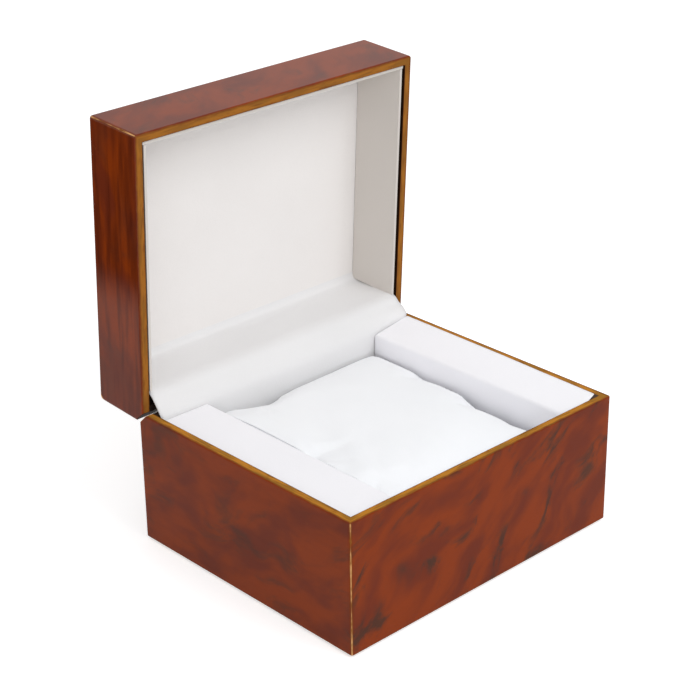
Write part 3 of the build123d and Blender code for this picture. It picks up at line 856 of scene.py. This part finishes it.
# Along each side, in millimetres: the place, the height of the seam, and how far it is drawn in
SEAM_BACK = [
    (-38.9, 42.8, 0.0), (-33.0, 43.0, 0.2), (-28.6, 42.0, 0.5), (-23.0, 41.3, 1.5),
    (-19.0, 40.9, 2.3), (-13.5, 41.0, 2.3), (-8.0, 41.5, 1.2), (-0.8, 41.3, 0.3),
    (13.6, 41.5, 0.2), (31.4, 42.3, 0.2), (43.1, 41.8, 0.0),
]
SEAM_RIGHT = [
    (-50.1, 40.5, 0.0), (-40.0, 38.6, 0.8), (-31.0, 38.1, 1.3), (-26.0, 38.8, 1.5),
    (-21.0, 39.1, 1.7), (-14.0, 38.9, 1.7), (-7.0, 40.2, 1.2), (-3.0, 41.3, 0.7),
    (10.0, 41.4, 0.4), (17.0, 41.0, 0.4), (24.0, 42.0, 0.2), (45.7, 41.8, 0.0),
]
SEAM_FRONT = [
    (-38.9, 41.0, 0.0), (-25.2, 39.6, 1.2), (-11.6, 38.6, 2.2), (2.1, 38.2, 2.6),
    (15.8, 38.0, 2.4), (29.4, 38.6, 1.4), (43.1, 40.5, 0.0),
]
SEAM_LEFT = [
    (-50.1, 41.0, 0.0), (-42.0, 46.0, 0.3), (-30.0, 48.7, 0.0), (-16.0, 49.1, 0.0),
    (-8.0, 47.6, 0.8), (0.0, 49.1, 0.0), (20.0, 49.2, 0.0), (35.0, 48.8, 0.0),
    (41.5, 46.4, 0.1), (45.7, 42.8, 0.0),
]
# Each side: its table, where it runs, and which way is inward
SEAMS = {
    "back": (SEAM_BACK, PILLOW_BACK, -1),
    "right": (SEAM_RIGHT, PILLOW_RIGHT, -1),
    "front": (SEAM_FRONT, PILLOW_FRONT, 1),
    "left": (SEAM_LEFT, PILLOW_LEFT, 1),
}


def seam_point(side, share):
    """A point of the seam on one side. Back and front run left to right, the others front to back."""
    table, edge, inward = SEAMS[side]
    x = PILLOW_LEFT + (PILLOW_RIGHT - PILLOW_LEFT) * share
    y = PILLOW_FRONT + (PILLOW_BACK - PILLOW_FRONT) * share
    crosswise = side in ("back", "front")
    height, drawn_in = eased((x if crosswise else y) / MM, table)
    line = edge + inward * drawn_in * MM
    return Vector((x, line, height * MM) if crosswise else (line, y, height * MM))


def inside_seam(u, v):
    """The surface that the seam spans: u runs left to right and v front to back, both 0 to 1."""
    front, back = seam_point("front", u), seam_point("back", u)
    left, right = seam_point("left", v), seam_point("right", v)
    corners = (
        seam_point("front", 0) * (1 - u) * (1 - v)
        + seam_point("front", 1) * u * (1 - v)
        + seam_point("back", 0) * (1 - u) * v
        + seam_point("back", 1) * u * v
    )
    return front * (1 - v) + back * v + left * (1 - u) + right * u - corners


print("pillow ears at", [round(seam_point("back", s).z, 4) for s in (0, 1)])

# %% Stretch the two panels inside the seam
PANEL_STEPS = 44
# Each panel: how high its middle is, how flat and how wide that is, and how steep its sides are
TOP_PANEL = (PILLOW_CROWN, 2.6, 1.0, 0.62)
BOTTOM_PANEL = (PILLOW_FLOOR, 9.0, 1.25, 0.42)


def bulge(u, v, power):
    """0 on the seam and 1 over most of the middle."""
    return (1 - abs(2 * u - 1) ** power) * (1 - abs(2 * v - 1) ** power)


def panel_point(u, v, panel):
    """A point of a panel, which leaves the seam for the height of its middle."""
    level, flat, wide, steep = panel
    point = inside_seam(u, v)
    share = min(1.0, bulge(u, v, flat) * wide) ** steep
    return Vector((point.x, point.y, point.z + (level - point.z) * share))


shape = bmesh.new()
places = [step / PANEL_STEPS for step in range(PANEL_STEPS + 1)]
for panel in (TOP_PANEL, BOTTOM_PANEL):
    rows = [[shape.verts.new(panel_point(u, v, panel)) for u in places] for v in places]
    join_rows(shape, rows, flip=panel is BOTTOM_PANEL)
bmesh.ops.remove_doubles(shape, verts=shape.verts, dist=0.01 * MM)
pillow_mesh = as_mesh(shape, "pillow")
print("pillow panels:", len(pillow_mesh.polygons), "faces")

# %% Fill the pillow
VOXEL = 1.6 * MM
PRESSURE = 3.0
CLOTH_FRAMES = 16
MOST_MOVE = 1.6 * MM
PILLOW_LOW = Vector((PILLOW_LEFT, PILLOW_FRONT, PILLOW_FLOOR))
PILLOW_HIGH = Vector((PILLOW_RIGHT, PILLOW_BACK, PILLOW_TOP))


def keep_inside(point, margin=0.0):
    """The pillow presses flat against the ledges, the front card, the flap and the floor."""
    low = PILLOW_LOW + Vector((1, 1, 1)) * margin
    high = PILLOW_HIGH - Vector((1, 1, 1)) * margin
    return Vector([min(max(value, least), most) for value, least, most in zip(point, low, high)])


pillow = new_object("pillow", pillow_mesh)
remesh = pillow.modifiers.new("remesh", "REMESH")
remesh.mode = "VOXEL"
remesh.voxel_size = VOXEL
apply_modifiers(pillow)
start_points = [vertex.co.copy() for vertex in pillow.data.vertices]
cloth = pillow.modifiers.new("cloth", "CLOTH")
fabric = cloth.settings
fabric.use_pressure = True
fabric.uniform_pressure_force = PRESSURE
fabric.effector_weights.gravity = 0
fabric.tension_stiffness = 20
fabric.bending_stiffness = 0.05
cloth.point_cache.frame_end = CLOTH_FRAMES
for frame_number in range(1, CLOTH_FRAMES + 1):
    bpy.context.scene.frame_set(frame_number)
apply_modifiers(pillow)
bpy.context.scene.frame_set(1)
moved = 0.0
for vertex, start in zip(pillow.data.vertices, start_points):
    step = vertex.co - start
    moved = max(moved, step.length)
    if step.length > MOST_MOVE:
        step *= MOST_MOVE / step.length
    vertex.co = keep_inside(start + step)
print("pillow:", len(start_points), "points, the stuffing moved them up to", round(moved, 4))

# %% [markdown]
# ## Creases and wrinkles
#
# Stuffing alone gives a balloon. Real fabric is pulled by its seam: soft folds fan out from
# where it is drawn in, and one sharp tuck runs in from the left side. Each fold is a line with a
# depth and a width, and every point near that line is pushed down or up by a smooth bell.

# %% Press the folds into the pillow
# Each fold: where it starts and ends (x, y), its depth (up if negative) and its width, in millimetres
FOLDS = [
    ((-39, -9), (-30, -4), 0.9, 1.8),
    ((-34, -22), (-12, 20), 0.55, 4.5),
    ((-30, -34), (-10, -2), 0.50, 3.6),
    ((-26, 0), (-14, 26), 0.45, 3.8),
    ((-24, -44), (-6, -22), 0.40, 3.5),
    ((-39, 38), (-24, 30), 0.55, 3.0),
    ((14, -50), (12, -30), 0.45, 3.0),
    ((-20, 45), (-18, 30), 0.50, 3.2),
    ((43, -16), (28, -12), 0.45, 3.0),
    ((43, 20), (30, 16), 0.35, 2.6),
    ((-32, -28), (-14, 4), -0.45, 3.6),
    ((-22, -6), (-10, 18), -0.35, 3.4),
]
# Height above which the pillow can wrinkle, and the rise over which it becomes free to
CALM_BELOW = 34 * MM
CALM_RISE = 8 * MM
SMALL_PUCKER = 0.16 * MM
LARGE_PUCKER = 0.30 * MM


def fold_push(point, fold):
    """How far a fold pushes a point down."""
    (x0, y0), (x1, y1), depth, width = fold
    start, end = Vector((x0, y0)), Vector((x1, y1))
    spot = Vector((point.x, point.y)) / MM
    share = max(0.0, min(1.0, (spot - start).dot(end - start) / (end - start).length_squared))
    apart = (spot - start.lerp(end, share)).length
    fading = 1 - share * 0.85
    return depth * fading * math.exp(-((apart / width) ** 2)) * MM


for vertex in pillow.data.vertices:
    weight = min(1.0, max(0.0, (vertex.co.z - CALM_BELOW) / CALM_RISE))
    push = sum(fold_push(vertex.co, fold) for fold in FOLDS)
    pucker = noise.noise(vertex.co * 140) * SMALL_PUCKER + noise.noise(vertex.co * 45) * LARGE_PUCKER
    vertex.co.z -= (push + pucker) * weight
    vertex.co = keep_inside(vertex.co)
smooth = pillow.modifiers.new("smooth", "SUBSURF")
smooth.levels = smooth.render_levels = 1
apply_modifiers(pillow)
pillow.data.shade_smooth()
print("pillow faces:", len(pillow.data.polygons))

# %% [markdown]
# ## The pillow's fabric
#
# It is a soft white cloth with a short nap. A fine weave in the bump and a little sheen at
# grazing angles keep it from looking like plaster.

# %% Material: pillow fabric
pillow_cloth = grained(
    "pillow_cloth",
    (0.94, 0.955, 0.98, 1),
    (0.90, 0.915, 0.945, 1),
    scale=2600.0,
    roughness=0.70,
    strength=0.30,
    distance=0.12 * MM,
    Specular_IOR_Level=0.2,
    Sheen_Weight=0.15,
    Sheen_Roughness=0.5,
)
pillow.data.materials.clear()
pillow.data.materials.append(pillow_cloth)
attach(pillow, "pillow")
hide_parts("pillow_top_panel", "pillow_bottom_panel", "pillow_filling")

# %% [markdown]
# ## The pillow's seam
#
# The seam is a thin welt with small stitches over it. Both follow the same line, which makes
# them a good task for Geometry Nodes: a circle swept along the line is the welt, and one short
# thread, placed every few millimetres and turned with the line, makes all the stitches. The line
# is first laid onto the pillow as it came out after the stuffing and the folds.

# %% Lay the seam's line onto the pillow
WELT_RADIUS = 0.35 * MM
SEAM_STEPS = 120

surface = BVHTree.FromObject(pillow, bpy.context.evaluated_depsgraph_get())
outline = []
for side, backward in (("front", False), ("right", False), ("back", True), ("left", True)):
    for step in range(SEAM_STEPS):
        share = step / SEAM_STEPS
        wanted = seam_point(side, 1 - share if backward else share)
        outline.append(surface.find_nearest(wanted)[0])
smoothed = [
    (outline[index - 1] + here + outline[(index + 1) % len(outline)]) / 3
    for index, here in enumerate(outline)
]
line_mesh = bpy.data.meshes.new("seam_line")
line_mesh.from_pydata(
    [keep_inside(point, WELT_RADIUS) for point in smoothed],
    [(index, (index + 1) % len(smoothed)) for index in range(len(smoothed))],
    [],
)
print("seam line points:", len(smoothed))

# %% Sew it with Geometry Nodes
GEOMETRY = "NodeSocketGeometry"
# How much a stitch slants, as the rise for each length along the seam
STITCH_SLANT = 0.75

sewing, given, out = new_group(
    "sewn seam",
    [
        ("Geometry", GEOMETRY, None),
        ("Welt Radius", FLOAT, WELT_RADIUS),
        ("Stitch Spacing", FLOAT, 2.4 * MM),
        ("Stitch Length", FLOAT, 1.3 * MM),
        ("Thread Radius", FLOAT, 0.10 * MM),
        ("Unevenness", FLOAT, 0.12),
        ("Seed", "NodeSocketInt", 7),
        ("Material", "NodeSocketMaterial", None),
    ],
    [("Geometry", GEOMETRY, None)],
    kind="GeometryNodeTree",
)


def sew(kind, inputs=None, **settings):
    """Places a node of the sewing and gives its first output."""
    return place(sewing, kind, inputs, **settings).outputs[0]


line = sew("GeometryNodeMeshToCurve", {"Mesh": given["Geometry"]})
circle = sew("GeometryNodeCurvePrimitiveCircle", {"Resolution": 8, "Radius": given["Welt Radius"]})
welt = sew("GeometryNodeCurveToMesh", {"Curve": line, "Profile Curve": circle})
spaced = sew("GeometryNodeResampleCurve", {"Curve": line, "Length": given["Stitch Spacing"]}, mode="LENGTH")
size = {"Vertices": 6, "Radius": given["Thread Radius"], "Depth": given["Stitch Length"]}
thread = sew("GeometryNodeMeshCylinder", size)
slanted = calc_vector(sewing, "ADD", sew("GeometryNodeInputTangent"), (0.0, 0.0, STITCH_SLANT))
aligned = sew("FunctionNodeAlignRotationToVector", {"Vector": slanted}, axis="Z")
shortest = calc(sewing, "SUBTRACT", 1.0, given["Unevenness"])
inputs = {2: shortest, 3: 1.0, "Seed": given["Seed"]}
uneven_size = place(sewing, "FunctionNodeRandomValue", inputs, data_type="FLOAT").outputs[1]
inputs = {"Points": spaced, "Instance": thread, "Rotation": aligned, "Scale": uneven_size}
stitches = sew("GeometryNodeInstanceOnPoints", inputs)
outward = calc_vector(sewing, "MULTIPLY", sew("GeometryNodeInputPosition"), (1.0, 1.0, 0.0))
outward = calc_vector(sewing, "NORMALIZE", outward)
offset = calc_vector(sewing, "SCALE", outward, Scale=given["Welt Radius"])
inputs = {"Instances": stitches, "Translation": offset, "Local Space": False}
stitches = sew("GeometryNodeTranslateInstances", inputs)
joined = sewing.nodes.new("GeometryNodeJoinGeometry")
sewing.links.new(welt, joined.inputs[0])
sewing.links.new(stitches, joined.inputs[0])
real = sew("GeometryNodeRealizeInstances", {"Geometry": joined.outputs[0]})
dressed = sew("GeometryNodeSetMaterial", {"Geometry": real, "Material": given["Material"]})
feed(sewing, out, {"Geometry": dressed})

line_holder = new_object("seam_line", line_mesh)
sewn = line_holder.modifiers.new("sewing", "NODES")
sewn.node_group = sewing
for item in sewing.interface.items_tree:
    if item.name == "Material":
        sewn[item.identifier] = pillow_cloth
apply_modifiers(line_holder)
seam_mesh = line_holder.data
bpy.data.objects.remove(line_holder)
seam_mesh.shade_smooth()
seam = new_piece("pillow_seam", seam_mesh, pillow_cloth, "pillow")
print("seam faces:", len(seam.data.polygons))

# %% [markdown]
# ## Floor and light
#
# The box stands in a white studio. The floor is a plain white plane that glows a little for the
# camera, so that it reads as white but still darkens where the box shades it. A large soft lamp
# above the front gives form, a weak one on the left lights that side, and a pale sky does the
# rest. A dark cloth lies on the floor behind the box. The camera doesn't see it, but the lacquer
# mirrors it, as it would mirror the dark things in a real room.

# %% Build the floor
FLOOR_HALF = 4.0
FLOOR_SUNK = 0.2 * MM
FLOOR_GLOW = 0.56
FLOOR_COLOUR = (0.76, 0.76, 0.76, 1)
WHITE = (1, 1, 1, 1)


def studio_sheet(name, low, high, height):
    """A flat rectangle between two corners."""
    (x0, y0), (x1, y1) = low, high
    mesh = bpy.data.meshes.new(name)
    corners = [(x0, y0, height), (x1, y0, height), (x1, y1, height), (x0, y1, height)]
    mesh.from_pydata(corners, [], [(0, 1, 2, 3)])
    return new_object(name, mesh)


floor = studio_sheet("floor", (-FLOOR_HALF, -FLOOR_HALF), (FLOOR_HALF, FLOOR_HALF), 0.0)
floor.location.z = -FLOOR_SUNK


def seen_by_eye(tree):
    """1 for what the camera sees, also in mirrors and through glass."""
    rays = tree.nodes.new("ShaderNodeLightPath").outputs
    glossy = calc(tree, "MAXIMUM", rays["Is Glossy Ray"], rays["Is Transmission Ray"])
    return calc(tree, "MAXIMUM", rays["Is Camera Ray"], glossy)


floor_material, tree, shader = shade("floor_white", Roughness=0.9, Specular_IOR_Level=0.0)
glow = calc(tree, "MULTIPLY", seen_by_eye(tree), FLOOR_GLOW)
feed(tree, shader.inputs, {"Base Color": FLOOR_COLOUR, "Emission Color": WHITE, "Emission Strength": glow})
floor.data.materials.append(floor_material)
print("floor:", 2 * FLOOR_HALF, "m wide")

# %% Light the box
SKY_STRENGTH = 0.68
world = bpy.data.worlds.new("studio")
bpy.context.scene.world = world
world.use_nodes = True
tree = world.node_tree
tree.nodes.clear()
strength = calc(tree, "MULTIPLY_ADD", seen_by_eye(tree), 1.0 - SKY_STRENGTH, SKY_STRENGTH)
sky = place(tree, "ShaderNodeBackground", {"Color": WHITE, "Strength": strength})
tree.links.new(sky.outputs[0], tree.nodes.new("ShaderNodeOutputWorld").inputs["Surface"])


def soft_lamp(name, spot, aim, size, watts):
    """A square lamp that looks at a point."""
    data = bpy.data.lights.new(name, "AREA")
    data.size = size
    data.energy = watts
    lamp = new_object(name, data)
    lamp.location = spot
    lamp.rotation_mode = "QUATERNION"
    lamp.rotation_quaternion = (Vector(aim) - Vector(spot)).to_track_quat("-Z", "Y")
    print("lamp:", name, watts, "W")


soft_lamp("key", spot=(0.25, -1.1, 1.25), aim=(0, 0, 0.05), size=0.9, watts=10.1)
soft_lamp("fill", spot=(-0.85, -0.85, 0.40), aim=(0, 0, 0.08), size=0.8, watts=2.3)

# %% Lay the dark cloth
CLOTH_LOW = (-0.75, 0.12)
CLOTH_HIGH = (-0.15, 0.90)
CLOTH_HEIGHT = 1.0 * MM
# Towards the box the cloth fades into the floor
CLOTH_FADE = (-0.212, -0.180)
CLOTH_DARK = (0.02, 0.02, 0.02, 1)
CLOTH_PALE = (0.85, 0.85, 0.85, 1)

dark_cloth = studio_sheet("dark_cloth", CLOTH_LOW, CLOTH_HIGH, CLOTH_HEIGHT)
cloth_material, tree, shader = shade("dark_cloth", Roughness=1.0, Specular_IOR_Level=0.0)
split = place(tree, "ShaderNodeSeparateXYZ", {0: object_place(tree)}).outputs
pale = fade(tree, split["X"], *CLOTH_FADE)
colour = mix_colour(tree, pale, CLOTH_DARK, CLOTH_PALE)
glow = calc(tree, "MULTIPLY", pale, FLOOR_GLOW)
feed(tree, shader.inputs, {"Base Color": colour, "Emission Color": WHITE, "Emission Strength": glow})
dark_cloth.data.materials.append(cloth_material)
dark_cloth.visible_camera = dark_cloth.visible_diffuse = dark_cloth.visible_shadow = False

bpy.context.scene.view_settings.view_transform = "Standard"
print("lit")
